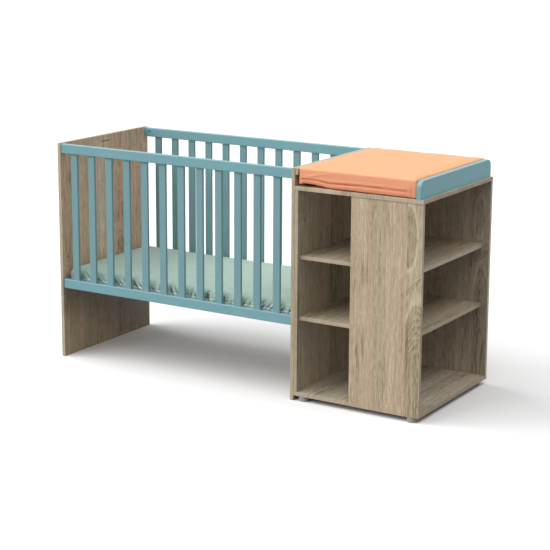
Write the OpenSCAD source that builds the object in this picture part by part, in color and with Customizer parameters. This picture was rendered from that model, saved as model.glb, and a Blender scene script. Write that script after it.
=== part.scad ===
/* [Mattress] */
// Length of the mattress
mattress_l = 1200; // [1000:10:1400]
// Width of the mattress
mattress_w = 600; // [500:10:700]
// Thickness of the mattress
mattress_t = 70; // [50:5:120]
// Room round the mattress, on each side
mattress_gap = 2.5; // [1:0.5:6]
// Radius of the mattress at its corners, seen from above
mattress_corner_r = 28; // [15:1:60]

/* [Boards] */
// Thickness of every laminated board
board_t = 16; // [15:1:22]
// Radius of the eased long edges of the boards
board_edge_r = 1; // [0.5:0.5:3]
// Height of the crib's end panels
panel_h = 986; // [900:2:1100]

/* [Barred sides] */
// Thickness of the painted rails
rail_t = 22; // [20:1:28]
// Height of a rail
rail_h = 42; // [40:1:60]
// Radius of the rails' long edges
rail_edge_r = 3; // [1:0.5:5]
// Distance of the rails behind the end panels' front and rear edges
rail_inset = 4; // [0:1:12]
// Distance of the top rails below the end panels' tops
rail_drop = 3; // [0:1:20]
// Height of the bottom rails' undersides above the floor
bottom_rail_z = 322; // [200:2:380]
// Number of slats in each side
slat_n = 12; // [8:1:12]
// Width of a slat
slat_w = 35; // [25:1:40]
// Thickness of a slat
slat_t = 12; // [9:1:14]
// Radius of the slats' long edges
slat_edge_r = 2.5; // [1:0.5:4]
// Gap between an end panel and the first slat of a side
slat_near_gap = 51; // [40:0.5:65]
// Gap between the last slat of a side and the other end panel
slat_far_gap = 59; // [40:0.5:65]
// Depth of the mortises that hold the slats' ends
slat_seat = 12; // [8:1:18]

/* [Mattress base] */
// Height of the base frame with its slats
base_h = 28; // [26:1:40]
// Thickness of the base's end rails
base_end_t = 18; // [16:1:24]
// Width of the base's side rails, which lie flat
base_side_w = 30; // [24:1:45]
// Number of slats in the base
base_slat_n = 12; // [8:1:12]
// Width of a base slat
base_slat_w = 52; // [30:1:60]
// Thickness of a base slat
base_slat_t = 8; // [6:1:12]
// Clearance round the base inside the crib
base_gap = 2; // [1:0.5:4]
// Length of the tenons on the base's side rails
base_tenon = 7; // [4:0.5:8]
// Diameter of the four support pins
pin_d = 8; // [6:1:10]
// Depth of the pins in the end panels
pin_seat = 12; // [8:1:13]
// Length of the pins that stands out of the end panels
pin_reach = 10; // [7:1:11]
// Distance of the pins from the end panels' front and rear edges
pin_inset = 37; // [36:1:45]
// Height of the pins above the underside of the base
pin_rise = 10; // [8:1:14]
// Distance between the lower and the upper holes for the pins
base_lift = 130; // [100:5:160]

/* [Panel slot] */
// Length of the shallow slot on the left end panel's inner face
slot_l = 72; // [40:2:120]
// Width of the slot
slot_w = 4; // [2:0.5:8]
// Depth of the slot
slot_depth = 3; // [1:0.5:6]
// Distance of the slot below the panel's top
slot_drop = 29; // [20:1:80]

/* [Changer] */
// Length of the changer, along the crib's length
changer_l = 584; // [540:2:700]
// Distance of the changer's top face below the end panels' tops
changer_drop = 74; // [50:1:140]
// Length of the closed front panel, from the open right end
front_panel_l = 321; // [240:1:400]
// Height of the lower shelf's underside above the floor
lower_shelf_z = 346; // [250:2:420]
// Height of the upper shelf's underside above the floor
upper_shelf_z = 606; // [520:2:700]
// Distance of the shelves' ends from the open right end
shelf_inset = 30; // [10:1:60]

/* [Guard board and batten] */
// Thickness of the guard board
guard_t = 22; // [16:1:28]
// Height of the guard board
guard_h = 75; // [60:1:120]
// Distance of the guard board from the top panel's right edge
guard_inset = 11; // [2:1:30]
// Radius of the guard board's upper corners
guard_corner_r = 28; // [15:1:45]
// Radius of the guard board's rounded edges
guard_edge_r = 3; // [1:0.5:5]
// Thickness of the batten on the crib panel
batten_t = 12; // [10:1:18]
// Height of the batten
batten_h = 26; // [18:1:40]
// Distance of the batten's ends from the panel's edges
batten_end_gap = 3; // [1:1:20]

/* [Changing mat] */
// Thickness of the changing mat
mat_t = 74; // [40:2:90]
// Clearance between the mat and what stands beside it
mat_gap = 1; // [0.5:0.5:5]
// Distance of the mat from the top panel's front and rear edges
mat_end_gap = 5; // [2:1:30]
// Radius of the mat at its corners, seen from above
mat_corner_r = 32; // [15:1:60]

/* [Feet] */
// Diameter of a foot
foot_d = 48; // [36:1:60]
// Height of a foot
foot_h = 22; // [16:1:40]
// Distance of the feet's centres from the changer's ends
foot_end_inset = 39; // [32:1:70]
// Distance of the front feet's centres from the front plane
foot_front_inset = 26; // [25:1:60]
// Distance of the rear feet's centres from the rear plane
foot_rear_inset = 44; // [32:1:80]

/* [Fasteners] */
// Diameter of a rail bolt's thread
bolt_d = 6; // [5:1:8]
// Diameter of a rail bolt's head
bolt_head_d = 14; // [12:1:16]
// Diameter of a barrel nut
nut_d = 10; // [9:1:12]
// Distance of a barrel nut from the rail's end
nut_inset = 30; // [24:1:40]
// Height of a rail bolt above the middle of the rail
bolt_rise = 4; // [2:0.5:6]
// Distance of a rail dowel below the middle of the rail
dowel_drop = 10; // [8:0.5:12]
// Diameter of a wooden dowel
dowel_d = 8; // [6:1:8]
// Length of a wooden dowel
dowel_l = 30; // [28:1:40]
// Diameter of a cam lock
cam_d = 15; // [12:1:15]
// Depth of a cam lock in its board
cam_depth = 12; // [10:0.5:12.5]
// Distance of a cam lock's centre from the board's edge
cam_inset = 24; // [20:1:34]
// Length of a confirmat screw
confirmat_l = 50; // [40:1:60]
// Length of a wood screw
wood_screw_l = 24; // [20:1:26]

/* [Hidden] */

$fn = 32;

// Running clearance between pieces on different bodies
rest_gap = 0.3;
// Radial clearance of glued or screwed fits
fit = 0.1;
// How far a cut runs past a face
cut = 1;

// Plan of the crib, from the front left corner of its left end panel
inner_l = mattress_l + 2 * mattress_gap;
inner_w = mattress_w + 2 * mattress_gap;
depth = inner_w + 2 * rail_t + 2 * rail_inset;
right_panel_x = board_t + inner_l;
changer_x = right_panel_x + board_t;
changer_end_x = changer_x + changer_l;

// Middle planes of the front and rear sides
front_y = rail_inset + rail_t / 2;
rear_y = depth - front_y;
top_rail_z = panel_h - rail_drop - rail_h;
slat_pitch = (inner_l - slat_near_gap - slat_far_gap - slat_w) / (slat_n - 1);
slat_bottom_z = bottom_rail_z + rail_h - slat_seat;
slat_l = top_rail_z + slat_seat - slat_bottom_z;
// One rail a row: middle plane, underside, side of the inner face
RAILS = [
    [front_y, top_rail_z, 1],
    [front_y, bottom_rail_z, 1],
    [rear_y, top_rail_z, -1],
    [rear_y, bottom_rail_z, -1]
];

// Rail bolt: the head sits in a counterbore, the shank ends past the barrel nut
bolt_head_t = 3;
bolt_sink = 4;
bolt_clear_d = bolt_d + 1;
bolt_past_nut = 8;
hex_key_d = 5;
nut_l = 15;
nut_slot = 1.2;

// Mattress base
base_z = bottom_rail_z;
base_top_z = base_z + base_h;
base_l = inner_l - 2 * base_gap;
base_w = inner_w - 2 * base_gap;
base_x = board_t + base_gap;
base_y = rail_inset + rail_t + base_gap;
base_side_h = base_h - base_slat_t;
base_tenon_w = base_side_w - 10;
base_tenon_h = base_side_h - 8;
base_side_l = base_l - 2 * base_end_t;
base_slat_pitch = (base_side_l - base_slat_w) / (base_slat_n - 1) * 0.985;
base_slat_first = (base_side_l - base_slat_w - (base_slat_n - 1) * base_slat_pitch) / 2;
pin_z = base_z + pin_rise;
pin_play = 0.3;
notch_depth = pin_reach - base_gap + 1;

// Changer
changer_h = panel_h - changer_drop;
top_under_z = changer_h - board_t;
floor_top_z = foot_h + board_t;
front_panel_x = changer_end_x - front_panel_l;
niche_x = changer_x + board_t;
shelf_end_x = changer_end_x - shelf_inset;
rear_panel_y = depth - board_t;
guard_x = changer_end_x - guard_inset - guard_t;
mat_x = changer_x + batten_t + mat_gap;
mat_l = guard_x - mat_gap - mat_x;
foot_recess_d = 18;
foot_base_t = 10;
foot_bead = 3;
FEET = [
    [changer_x + foot_end_inset, foot_front_inset],
    [changer_end_x - foot_end_inset, foot_front_inset],
    [changer_x + foot_end_inset, depth - foot_rear_inset],
    [changer_end_x - foot_end_inset, depth - foot_rear_inset]
];

// Dowels stand 10 mm in the face of one board and the rest in the edge of the other
dowel_in_face = 10;
dowel_tip = 1.2;

// Cam joints: the bolt screws into the top panel, the lock turns in the upright board
cam_thread_d = 5;
cam_thread_l = 11;
cam_shank_d = 6;
cam_head_d = 7;
cam_way_d = 8;
cam_slot = 2;

// Confirmat screw
confirmat_head_d = 10;
confirmat_head_t = 3;
confirmat_neck_d = 7;
confirmat_neck_l = 15;
confirmat_core_d = 5;

// Wood screw
wood_screw_d = 4;
wood_screw_head_d = 8;
wood_screw_head_t = 3;

// Link bolt and its sleeve nut, flush in the two panels that they hold together
link_head_d = 13;
link_head_t = 2.5;
link_sleeve_d = 8;
link_thread_d = 5;
link_front_y = 130;
link_rear_y = depth - 60;
link_low_z = floor_top_z + 112;
link_high_z = top_under_z - 56;

// Distances of the fasteners from the boards' edges
edge_near = 60;
edge_mid = 110;

// Cam places: x, y, and the direction in which the lock opens
CAMS = [
    [changer_x + board_t / 2, edge_mid, 180],
    [changer_x + board_t / 2, depth - edge_mid, 180],
    [niche_x + edge_mid, depth - board_t / 2, 90],
    [changer_end_x - edge_mid, depth - board_t / 2, 90],
    [front_panel_x + edge_near, board_t / 2, 90],
    [changer_end_x - edge_near, board_t / 2, 90]
];

// Upright dowels between the top panel and the boards below it
TOP_DOWELS = [
    [changer_x + board_t / 2, edge_near],
    [changer_x + board_t / 2, depth - edge_near],
    [niche_x + edge_near, depth - board_t / 2],
    [changer_end_x - edge_near, depth - board_t / 2],
    [front_panel_x + edge_mid, board_t / 2],
    [changer_end_x - edge_mid, board_t / 2]
];

// Dowels between the front panel's rear face and the boards behind it: x and height
FRONT_DOWELS = [
    for (z = [foot_h, lower_shelf_z, upper_shelf_z], x = [front_panel_x + edge_near, changer_end_x - edge_mid])
        [x, z + board_t / 2]
];

// Confirmat screws: place of the head, and the turn of the screw about X and Z
SHELF_ZS = [lower_shelf_z + board_t / 2, upper_shelf_z + board_t / 2];
SIDE_CONFIRMATS = [for (z = SHELF_ZS, y = [edge_near + board_t, rear_panel_y - edge_near]) [changer_x, y, z]];
REAR_CONFIRMATS = [for (z = SHELF_ZS, x = [niche_x + edge_mid, shelf_end_x - edge_mid]) [x, depth, z]];
FLOOR_CONFIRMATS = concat(
    [for (y = [edge_mid, depth / 2, depth - edge_mid]) [changer_x + board_t / 2, y, foot_h]],
    [for (x = [niche_x + edge_mid, changer_end_x - edge_mid]) [x, depth - board_t / 2, foot_h]]
);
GUARD_CONFIRMATS = [
    for (i = [0:3]) [guard_x + guard_t / 2, edge_near + i * (depth - 2 * edge_near) / 3, top_under_z]
];

// Wood screws through the batten, and the link bolts, both in the right end panel
BATTEN_SCREWS = [for (i = [0:3]) [edge_near + i * (depth - 2 * edge_near) / 3, panel_h - batten_h / 2]];
LINKS = [for (y = [link_front_y, link_rear_y], z = [link_low_z, link_high_z]) [y, z]];

TEAL = [0.40, 0.60, 0.64];
DECOR = [0.70, 0.63, 0.53];
PINE = [0.86, 0.76, 0.58];
STEEL = [0.72, 0.73, 0.75];
GREY = [0.60, 0.61, 0.60];
SHEET = [0.71, 0.83, 0.76];
PEACH = [0.98, 0.74, 0.56];

// A rectangle with round corners, its lower left corner at the origin
module rounded_rect(size, r) {
    translate([r, 0]) square([size.x - 2 * r, size.y]);
    translate([0, r]) square([size.x, size.y - 2 * r]);
    for (x = [r, size.x - r], y = [r, size.y - r]) translate([x, y]) circle(r);
}

// A bar with round long edges, which run along X, Y or Z
module bar_x(size, r) {
    rotate([90, 0, 90]) linear_extrude(size.x) rounded_rect([size.y, size.z], r);
}
module bar_y(size, r) {
    translate([0, size.y, 0]) rotate([90, 0, 0]) linear_extrude(size.y) rounded_rect([size.x, size.z], r);
}
module bar_z(size, r) {
    linear_extrude(size.z) rounded_rect([size.x, size.y], r);
}

// A round bore or pin from a point, along X, Y or Z
module round_x(at, d, l) { translate(at) rotate([0, 90, 0]) cylinder(d = d, h = l); }
module round_y(at, d, l) { translate(at) rotate([-90, 0, 0]) cylinder(d = d, h = l); }
module round_z(at, d, l) { translate(at) cylinder(d = d, h = l); }

// A soft slab with round corners and bulging edges
module soft_slab(size, corner_r) {
    edge_r = min(size.z / 2, corner_r - 1);
    hull()
        for (x = [corner_r, size.x - corner_r], y = [corner_r, size.y - corner_r])
            translate([x, y, 0]) rotate_extrude($fn = 28) intersection() {
                square([corner_r, size.z]);
                for (z = [edge_r, size.z - edge_r]) translate([corner_r - edge_r, z]) circle(edge_r, $fn = 20);
            }
}

// Moves a rail's joint to the inner face of an end panel; local X runs into the rail
module at_rail_end(rail, end) {
    translate([end == 0 ? board_t : right_panel_x, rail[0], rail[1] + rail_h / 2])
        mirror([end, 0, 0]) children();
}

// What a rail's joints cut from an end panel and from the rail
module panel_joint_cuts() {
    round_x([-board_t - cut, 0, bolt_rise], bolt_clear_d, board_t + 2 * cut);
    round_x([-board_t - cut, 0, bolt_rise], bolt_head_d + 1, bolt_sink + cut);
    round_x([-dowel_in_face - fit, 0, -dowel_drop], dowel_d + 2 * fit, dowel_in_face + fit + cut);
}
module rail_joint_cuts(side) {
    round_x([-cut, 0, bolt_rise], bolt_clear_d, nut_inset + bolt_past_nut + 2 * cut);
    round_x([-cut, 0, -dowel_drop], dowel_d + 2 * fit, dowel_l - dowel_in_face + fit + cut);
    nut_depth = rail_t / 2 + nut_l / 2 + fit;
    round_y([nut_inset, side > 0 ? rail_t / 2 - nut_depth : -rail_t / 2 - cut, bolt_rise],
        nut_d + 2 * fit, nut_depth + cut);
}

module rail(place) {
    mortise_z = place[1] == top_rail_z ? top_rail_z - cut : slat_bottom_z;
    color(TEAL) difference() {
        translate([board_t, place[0] - rail_t / 2, place[1]]) bar_x([inner_l, rail_t, rail_h], rail_edge_r);
        for (end = [0, 1]) at_rail_end(place, end) rail_joint_cuts(place[2]);
        for (i = [0:slat_n - 1])
            translate([slat_x(i, place[2]) - fit, place[0] - slat_t / 2 - fit, mortise_z])
                bar_z([slat_w + 2 * fit, slat_t + 2 * fit, slat_seat + cut], slat_edge_r);
    }
}
// The rear side is the front side turned round, so its first gap is at the right
function slat_x(i, side) = board_t + (side > 0 ? slat_near_gap : slat_far_gap) + i * slat_pitch;

module slat(i, place) {
    color(TEAL) translate([slat_x(i, place[2]), place[0] - slat_t / 2, slat_bottom_z])
        bar_z([slat_w, slat_t, slat_l], slat_edge_r);
}

module end_panel(x, end) {
    difference() {
        translate([x, 0, 0]) bar_z([board_t, depth, panel_h], board_edge_r);
        for (rail = RAILS) at_rail_end(rail, end) panel_joint_cuts();
        for (y = [pin_inset, depth - pin_inset], z = [pin_z, pin_z + base_lift])
            round_x([end == 0 ? board_t - pin_seat : right_panel_x - cut, y, z], pin_d + fit, pin_seat + cut);
    }
}

module left_end_panel() {
    color(DECOR) difference() {
        end_panel(0, 0);
        translate([board_t - slot_depth, (depth - slot_l) / 2, panel_h - slot_drop - slot_w / 2])
            bar_x([slot_depth + cut, slot_l, slot_w], slot_w / 2.01);
    }
}

module right_end_panel() {
    color(DECOR) difference() {
        end_panel(right_panel_x, 1);
        for (at = LINKS) link_cuts(at);
        for (at = BATTEN_SCREWS)
            round_x([changer_x - wood_screw_l + batten_t - fit, at[0], at[1]], wood_screw_d + 2 * fit, wood_screw_l);
    }
}

module rail_bolt() {
    difference() {
        union() {
            round_x([-board_t + bolt_sink - bolt_head_t, 0, bolt_rise], bolt_head_d, bolt_head_t);
            round_x([-board_t + bolt_sink, 0, bolt_rise], bolt_d, board_t - bolt_sink + nut_inset + bolt_past_nut);
        }
        translate([-board_t, 0, bolt_rise]) rotate([0, 90, 0]) cylinder(d = hex_key_d, h = bolt_sink, $fn = 6);
    }
}

module rail_bolts() {
    color(STEEL) for (rail = RAILS, end = [0, 1]) at_rail_end(rail, end) rail_bolt();
}

// The barrel nut's slot shows at its outer end and lines up with the bolt
module barrel_nut(side) {
    difference() {
        round_y([nut_inset, -nut_l / 2, bolt_rise], nut_d, nut_l);
        round_x([0, 0, bolt_rise], bolt_d + 2 * fit, 2 * nut_inset);
        translate([0, side * nut_l / 2 - nut_slot, bolt_rise - nut_slot / 2])
            cube([2 * nut_inset, 2 * nut_slot, nut_slot]);
    }
}

module barrel_nuts() {
    color(STEEL) for (rail = RAILS, end = [0, 1]) at_rail_end(rail, end) barrel_nut(rail[2]);
}

// A dowel along Z, its middle joint plane at z = 0
module dowel() {
    translate([0, 0, -dowel_in_face]) {
        cylinder(d1 = dowel_d - 2 * dowel_tip, d2 = dowel_d, h = dowel_tip);
        translate([0, 0, dowel_tip]) cylinder(d = dowel_d, h = dowel_l - 2 * dowel_tip);
        translate([0, 0, dowel_l - dowel_tip]) cylinder(d1 = dowel_d, d2 = dowel_d - 2 * dowel_tip, h = dowel_tip);
    }
}
module dowel_way() {
    translate([0, 0, -dowel_in_face - fit]) cylinder(d = dowel_d + 2 * fit, h = dowel_l + 2 * fit);
}

// The three families of dowel places
module at_top_dowels() { for (at = TOP_DOWELS) translate([at[0], at[1], top_under_z]) mirror([0, 0, 1]) children(); }
module at_front_dowels() {
    for (at = FRONT_DOWELS) translate([at[0], board_t, at[1]]) rotate([-90, 0, 0]) children();
}

module wood_dowels() {
    color(PINE) {
        for (rail = RAILS, end = [0, 1])
            at_rail_end(rail, end) translate([0, 0, -dowel_drop]) rotate([0, 90, 0]) dowel();
        at_top_dowels() dowel();
        at_front_dowels() dowel();
    }
}

module base_pins() {
    color(STEEL) for (y = [pin_inset, depth - pin_inset]) {
        round_x([board_t - pin_seat, y, pin_z], pin_d, pin_seat + pin_reach);
        round_x([right_panel_x - pin_reach, y, pin_z], pin_d, pin_seat + pin_reach);
    }
}

// End rail of the base, as the left one: notches open downwards take the pins
module base_end_rail() {
    difference() {
        translate([base_x, base_y, base_z]) bar_y([base_end_t, base_w, base_h], board_edge_r);
        for (y = [pin_inset, depth - pin_inset]) {
            round_x([base_x - cut, y, pin_z], pin_d + 2 * pin_play, notch_depth + cut);
            translate([base_x - cut, y - pin_d / 2 - pin_play, base_z - cut])
                cube([notch_depth + cut, pin_d + 2 * pin_play, pin_rise + cut]);
        }
        for (y = [base_y, base_y + base_w - base_side_w])
            translate([base_x + base_end_t, y, base_z]) mirror([1, 0, 0]) base_tenon(fit);
    }
}

// Tenon of a side rail, from the shoulder along X; play widens it to its mortise
module base_tenon(play) {
    translate([0, (base_side_w - base_tenon_w) / 2 - play, (base_side_h - base_tenon_h) / 2 - play])
        cube([base_tenon + play, base_tenon_w + 2 * play, base_tenon_h + 2 * play]);
}

module base_left_rail() { color(PINE) base_end_rail(); }
module base_right_rail() {
    color(PINE) translate([2 * board_t + inner_l, 0, 0]) mirror([1, 0, 0]) base_end_rail();
}

module base_side_rail(y) {
    color(PINE) {
        translate([base_x + base_end_t, y, base_z]) bar_x([base_side_l, base_side_w, base_side_h], board_edge_r);
        translate([base_x + base_end_t + board_edge_r, y, base_z]) mirror([1, 0, 0])
            translate([board_edge_r, 0, 0]) base_tenon(0);
        translate([base_x + base_l - base_end_t, y, base_z]) base_tenon(0);
    }
}

module base_slats() {
    color(PINE) for (i = [0:base_slat_n - 1])
        translate([base_x + base_end_t + base_slat_first + i * base_slat_pitch, base_y, base_z + base_side_h])
            bar_y([base_slat_w, base_w, base_slat_t], base_slat_t / 4);
}

module mattress() {
    color(SHEET) translate([board_t + mattress_gap, rail_inset + rail_t + mattress_gap, base_top_z + rest_gap])
        soft_slab([mattress_l, mattress_w, mattress_t], mattress_corner_r);
}

// Cam joint, from the joint plane down into the upright board; the lock opens along local X
module at_cams() { for (at = CAMS) translate([at[0], at[1], top_under_z]) rotate([0, 0, at[2]]) children(); }
module cam_bolt() {
    cylinder(d = cam_thread_d, h = cam_thread_l);
    translate([0, 0, -cam_inset + cam_head_d / 2]) cylinder(d = cam_shank_d, h = cam_inset - cam_head_d / 2);
    translate([0, 0, -cam_inset]) cylinder(d = cam_head_d, h = cam_head_d / 2);
}
module cam_lock() {
    difference() {
        round_x([board_t / 2 - cam_depth, 0, -cam_inset], cam_d, cam_depth);
        translate([0, 0, -cam_inset - cam_head_d / 2]) cylinder(d = cam_way_d, h = cam_d);
        translate([board_t / 2 - cam_slot, -cam_d / 3, -cam_inset - cam_slot / 2])
            cube([2 * cam_slot, cam_d / 1.5, cam_slot]);
    }
}
module cam_cuts() {
    cylinder(d = cam_thread_d + 2 * fit, h = cam_thread_l + fit);
    translate([0, 0, -cam_inset]) cylinder(d = cam_way_d, h = cam_inset + fit);
    round_x([board_t / 2 - cam_depth - fit, 0, -cam_inset], cam_d + 2 * fit, cam_depth + cut);
}
module cam_bolts() { color(STEEL) at_cams() cam_bolt(); }
module cam_locks() { color(STEEL) at_cams() cam_lock(); }

// Confirmat screw along Z, its head at z = 0
module confirmat() {
    difference() {
        union() {
            cylinder(d = confirmat_head_d, h = confirmat_head_t);
            cylinder(d = confirmat_neck_d, h = confirmat_neck_l);
            cylinder(d = confirmat_core_d, h = confirmat_l);
        }
        translate([0, 0, -cut]) cylinder(d = 4, h = 2 + cut, $fn = 6);
    }
}
module confirmat_way() {
    translate([0, 0, -cut]) cylinder(d = confirmat_head_d + 2 * fit, h = confirmat_head_t + cut);
    translate([0, 0, -cut]) cylinder(d = confirmat_neck_d + 2 * fit, h = confirmat_neck_l + fit + cut);
    cylinder(d = confirmat_core_d + 2 * fit, h = confirmat_l + fit);
}
module at_side_confirmats() { for (at = SIDE_CONFIRMATS) translate(at) rotate([0, 90, 0]) children(); }
module at_rear_confirmats() { for (at = REAR_CONFIRMATS) translate(at) rotate([90, 0, 0]) children(); }
module at_floor_confirmats() { for (at = FLOOR_CONFIRMATS) translate(at) children(); }
module at_guard_confirmats() { for (at = GUARD_CONFIRMATS) translate(at) children(); }
module confirmat_screws() {
    color(STEEL) {
        at_side_confirmats() confirmat();
        at_rear_confirmats() confirmat();
        at_floor_confirmats() confirmat();
        at_guard_confirmats() confirmat();
    }
}

// Wood screw along Z, its countersunk head at z = 0
module wood_screw() {
    difference() {
        union() {
            cylinder(d1 = wood_screw_head_d, d2 = wood_screw_d, h = wood_screw_head_t);
            cylinder(d = wood_screw_d, h = wood_screw_l);
        }
        for (a = [0, 90]) rotate([0, 0, a]) translate([-2, -0.5, -cut]) cube([4, 1, 1 + cut]);
    }
}
module wood_screw_way() {
    translate([0, 0, -fit]) cylinder(d1 = wood_screw_head_d + 4 * fit, d2 = wood_screw_d + 2 * fit,
        h = wood_screw_head_t + 2 * fit);
    cylinder(d = wood_screw_d + 2 * fit, h = wood_screw_l + fit);
}
module at_foot_screws() { for (at = FEET) translate([at[0], at[1], foot_h - foot_base_t]) children(); }
module at_batten_screws() {
    for (at = BATTEN_SCREWS) translate([changer_x + batten_t, at[0], at[1]]) rotate([0, -90, 0]) children();
}
module wood_screws() {
    color(STEEL) {
        at_foot_screws() wood_screw();
        at_batten_screws() wood_screw();
    }
}

// Link bolt: a screw from the crib's side in a sleeve nut from the changer's side
module link_bolt(at) {
    round_x([right_panel_x, at[0], at[1]], link_head_d, link_head_t);
    round_x([right_panel_x, at[0], at[1]], link_thread_d, 2 * board_t - link_head_t - 2);
}
module link_nut(at) {
    difference() {
        union() {
            round_x([niche_x - link_head_t, at[0], at[1]], link_head_d, link_head_t);
            round_x([right_panel_x + link_head_t + 2, at[0], at[1]], link_sleeve_d,
                2 * board_t - link_head_t - 4);
        }
        round_x([right_panel_x, at[0], at[1]], link_thread_d + 2 * fit, 2 * board_t - link_head_t - 1);
    }
}
module link_cuts(at) {
    round_x([right_panel_x - cut, at[0], at[1]], link_sleeve_d + 2 * fit, 2 * board_t + 2 * cut);
    round_x([right_panel_x - cut, at[0], at[1]], link_head_d + 2 * fit, link_head_t + cut);
    round_x([niche_x - link_head_t, at[0], at[1]], link_head_d + 2 * fit, link_head_t + cut);
}
module link_bolts() { color(STEEL) for (at = LINKS) link_bolt(at); }
module link_nuts() { color(STEEL) for (at = LINKS) link_nut(at); }

module changer_left_side() {
    color(DECOR) difference() {
        translate([changer_x, 0, floor_top_z]) bar_z([board_t, depth, top_under_z - floor_top_z], board_edge_r);
        at_cams() cam_cuts();
        at_top_dowels() dowel_way();
        at_side_confirmats() confirmat_way();
        at_floor_confirmats() confirmat_way();
        for (at = LINKS) link_cuts(at);
    }
}

module changer_rear_panel() {
    color(DECOR) difference() {
        translate([niche_x, rear_panel_y, floor_top_z])
            bar_z([changer_end_x - niche_x, board_t, top_under_z - floor_top_z], board_edge_r);
        at_cams() cam_cuts();
        at_top_dowels() dowel_way();
        at_rear_confirmats() confirmat_way();
        at_floor_confirmats() confirmat_way();
    }
}

// The front panel closes the right part of the front and runs down past the bottom panel
module changer_front_panel() {
    color(DECOR) difference() {
        translate([front_panel_x, 0, foot_h]) bar_z([front_panel_l, board_t, top_under_z - foot_h], board_edge_r);
        at_cams() cam_cuts();
        at_top_dowels() dowel_way();
        at_front_dowels() dowel_way();
    }
}

// The bottom panel carries the side and the rear panel, and is notched behind the front panel
module changer_bottom() {
    color(DECOR) difference() {
        translate([changer_x, 0, foot_h]) bar_x([changer_l, depth, board_t], board_edge_r);
        translate([front_panel_x, -cut, foot_h - cut]) cube([front_panel_l + cut, board_t + cut, board_t + 2 * cut]);
        at_front_dowels() dowel_way();
        at_floor_confirmats() confirmat_way();
        at_foot_screws() wood_screw_way();
    }
}

module changer_top() {
    color(DECOR) difference() {
        translate([changer_x, 0, top_under_z]) bar_x([changer_l, depth, board_t], board_edge_r);
        at_cams() cam_cuts();
        at_top_dowels() dowel_way();
        at_guard_confirmats() confirmat_way();
    }
}

module shelf(z) {
    color(DECOR) difference() {
        translate([niche_x, board_t, z]) bar_x([shelf_end_x - niche_x, rear_panel_y - board_t, board_t], board_edge_r);
        at_front_dowels() dowel_way();
        at_side_confirmats() confirmat_way();
        at_rear_confirmats() confirmat_way();
    }
}

// A quarter disc about the X axis, from +Z towards -Y, its rim rounded like the board's edges
module guard_corner() {
    rotate([0, 90, 0]) rotate([0, 0, 180]) rotate_extrude(angle = 90, $fn = 64) {
        square([guard_corner_r - guard_edge_r, guard_t]);
        translate([0, guard_edge_r]) square([guard_corner_r, guard_t - 2 * guard_edge_r]);
        for (x = [guard_edge_r, guard_t - guard_edge_r])
            translate([guard_corner_r - guard_edge_r, x]) circle(guard_edge_r);
    }
}

// The guard board stands on the top panel, with round upper corners
module guard_board() {
    straight_h = guard_h - guard_corner_r;
    color(TEAL) difference() {
        translate([guard_x, 0, changer_h]) {
            bar_z([guard_t, depth, straight_h], guard_edge_r);
            translate([0, guard_corner_r, 0]) bar_y([guard_t, depth - 2 * guard_corner_r, guard_h], guard_edge_r);
            translate([0, guard_corner_r, straight_h]) guard_corner();
            translate([0, depth - guard_corner_r, straight_h]) mirror([0, 1, 0]) guard_corner();
        }
        at_guard_confirmats() confirmat_way();
    }
}

module mat_batten() {
    color(DECOR) difference() {
        translate([changer_x, batten_end_gap, panel_h - batten_h])
            bar_y([batten_t, depth - 2 * batten_end_gap, batten_h], board_edge_r);
        at_batten_screws() wood_screw_way();
    }
}

module changing_mat() {
    color(PEACH) translate([mat_x, mat_end_gap, changer_h + rest_gap])
        soft_slab([mat_l, depth - 2 * mat_end_gap, mat_t], mat_corner_r);
}

// A turned foot: a bead above the floor, a straight wall, and a recess for the screw
module foot(at) {
    color(GREY) translate([at[0], at[1], 0]) difference() {
        rotate_extrude($fn = 64) {
            square([foot_d / 2 - foot_bead, foot_h]);
            translate([0, foot_bead]) square([foot_d / 2, foot_h - foot_bead]);
            translate([foot_d / 2 - foot_bead, foot_bead]) circle(foot_bead);
        }
        translate([0, 0, -cut]) cylinder(d = foot_recess_d, h = foot_h - foot_base_t + cut);
        translate([0, 0, foot_h - foot_base_t]) wood_screw_way();
    }
}

// The part's origin is on the floor, under the middle of its box
module placed() {
    translate([-changer_end_x / 2, -depth / 2, 0]) children();
}

placed() left_end_panel();
placed() right_end_panel();
placed() rail(RAILS[0]);  // front_top_rail
placed() rail(RAILS[1]);  // front_bottom_rail
placed() rail(RAILS[2]);  // rear_top_rail
placed() rail(RAILS[3]);  // rear_bottom_rail
for (i = [1:slat_n]) {
    placed() slat(i - 1, RAILS[0]);
    placed() slat(i - 1, RAILS[2]);
}
placed() rail_bolts();
placed() barrel_nuts();
placed() wood_dowels();
placed() base_pins();
placed() base_side_rail(base_y);  // base_front_rail
placed() base_side_rail(base_y + base_w - base_side_w);  // base_rear_rail
placed() base_left_rail();
placed() base_right_rail();
placed() base_slats();
placed() mattress();
placed() changer_left_side();
placed() changer_rear_panel();
placed() changer_bottom();
placed() changer_front_panel();
placed() changer_top();
placed() shelf(lower_shelf_z);  // shelf_lower
placed() shelf(upper_shelf_z);  // shelf_upper
placed() guard_board();
placed() mat_batten();
placed() changing_mat();
placed() foot(FEET[0]);  // foot_front_left
placed() foot(FEET[1]);  // foot_front_right
placed() foot(FEET[2]);  // foot_rear_left
placed() foot(FEET[3]);  // foot_rear_right
placed() cam_bolts();
placed() cam_locks();
placed() confirmat_screws();
placed() wood_screws();
placed() link_bolts();
placed() link_nuts();
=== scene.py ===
"""The looks of a crib with an attached changer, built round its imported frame.

Metres throughout: X runs along the crib from left to right, Y from front to back, Z upwards.
"""

import math
import random

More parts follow.
